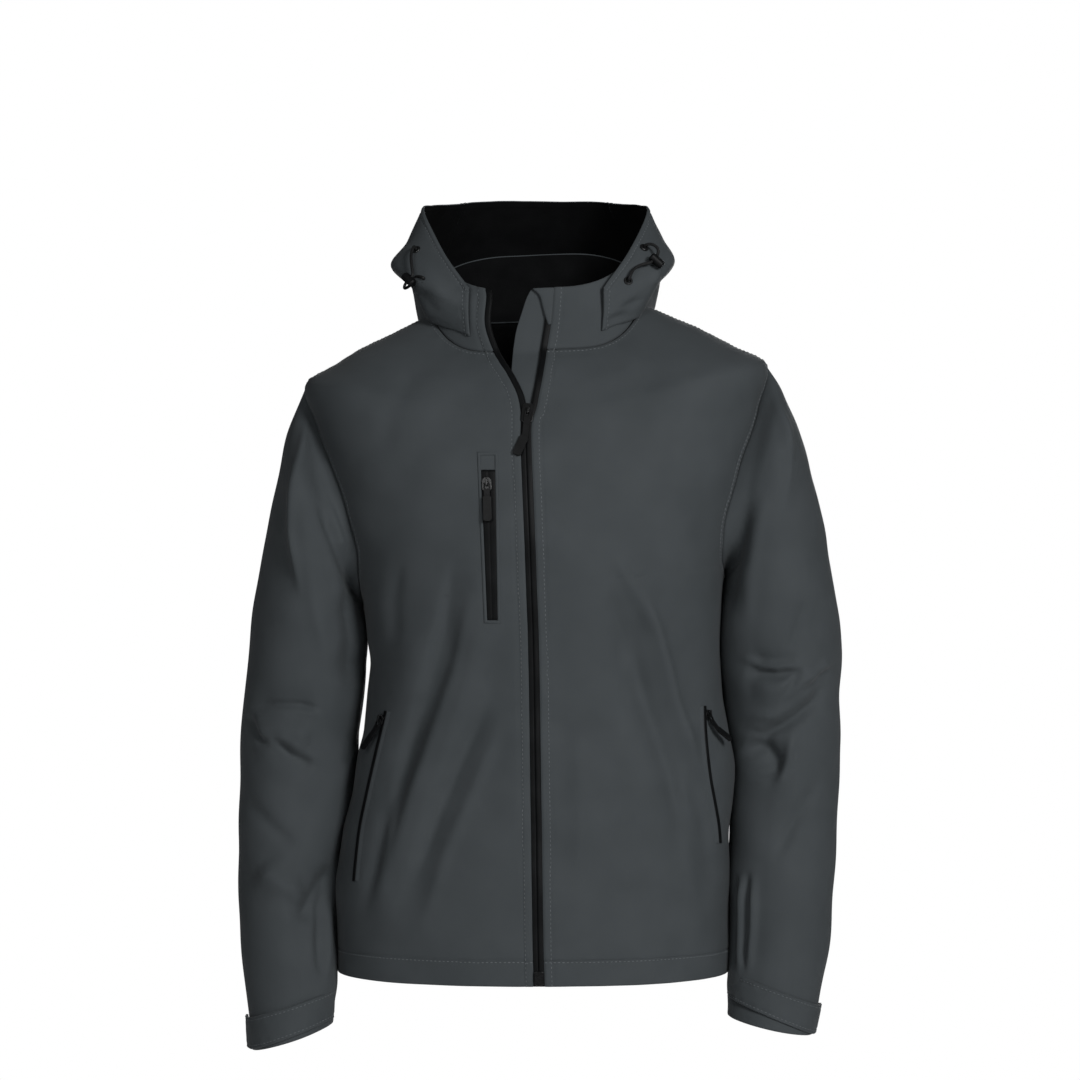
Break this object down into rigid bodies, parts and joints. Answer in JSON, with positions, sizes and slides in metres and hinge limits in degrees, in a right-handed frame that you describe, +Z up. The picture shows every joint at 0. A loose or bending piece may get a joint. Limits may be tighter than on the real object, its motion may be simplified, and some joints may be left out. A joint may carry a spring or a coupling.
{
  "type": "hooded softshell jacket",
  "caption": "Hip-length softshell jacket in its worn form, zipped to the chest, with stand collar, hood lying back, chest and hand pockets with zips, and strapped cuffs.",
  "frame": {"origin": "middle of the neck, level with the inner ends of the shoulder seams", "axes": "+Z up along the worn jacket, -Y the way its front faces, +X to the wearer's left"},
  "size_m": [0.6029, 0.3246, 0.8525],
  "materials": {
    "shell_cloth": "matt bonded stretch weave, dark grey",
    "zip_tape": "coated black zip tape with moulded teeth",
    "moulded_trim": "black moulded plastic, softly glossy",
    "eyelet_metal": "black lacquered metal",
    "elastic_cord": "black braided elastic"
  },
  "bodies": {
    "jacket": {"front_right": "shell_cloth", "front_left": "shell_cloth", "back": "shell_cloth", "sleeve_right": "shell_cloth", "sleeve_left": "shell_cloth", "collar": "shell_cloth", "hood_right": "shell_cloth", "hood_centre": "shell_cloth", "hood_left": "shell_cloth", "storm_flap": "shell_cloth", "chin_guard": "shell_cloth", "cuff_strap_right": "shell_cloth", "cuff_strap_left": "shell_cloth", "chest_welt": "shell_cloth", "pocket_welt_right": "shell_cloth", "pocket_welt_left": "shell_cloth", "zip_tape_right": "zip_tape", "zip_tape_left": "zip_tape", "chest_zip": "zip_tape", "pocket_zip_right": "zip_tape", "pocket_zip_left": "zip_tape", "zip_slider": "moulded_trim", "zip_box": "moulded_trim", "chest_slider": "moulded_trim", "pocket_right_slider": "moulded_trim", "pocket_left_slider": "moulded_trim", "cord_lock_right": "moulded_trim", "cord_lock_left": "moulded_trim", "eyelet_upper_right": "eyelet_metal", "eyelet_lower_right": "eyelet_metal", "eyelet_upper_left": "eyelet_metal", "eyelet_lower_left": "eyelet_metal", "drawcord_right": "elastic_cord", "drawcord_left": "elastic_cord"},
    "zip_pull_tab": {"zip_pull": "moulded_trim"},
    "chest_pull_tab": {"chest_pull": "moulded_trim"},
    "pocket_right_pull_tab": {"pocket_right_pull": "moulded_trim"},
    "pocket_left_pull_tab": {"pocket_left_pull": "moulded_trim"}
  },
  "joints": [
    {"name": "zip_pull_tab", "type": "hinge", "parent": "jacket", "child": "zip_pull_tab", "pos_m": [-0.00784, -0.11252, -0.1157], "axis": [-0.9941, 0.0506, 0.0963], "range_deg": [0, 150]},
    {"name": "chest_pull_tab", "type": "hinge", "parent": "jacket", "child": "chest_pull_tab", "pos_m": [-0.04726, -0.1321, -0.18544], "axis": [-0.9964, 0.0725, -0.0439], "range_deg": [0, 150]},
    {"name": "pocket_right_pull_tab", "type": "hinge", "parent": "jacket", "child": "pocket_right_pull_tab", "pos_m": [-0.15325, -0.07111, -0.4153], "axis": [-0.5738, 0.7731, 0.2705], "range_deg": [0, 150]},
    {"name": "pocket_left_pull_tab", "type": "hinge", "parent": "jacket", "child": "pocket_left_pull_tab", "pos_m": [0.16993, -0.0686, -0.4108], "axis": [-0.599, -0.8007, -0.0039], "range_deg": [0, 150]}
  ]
}
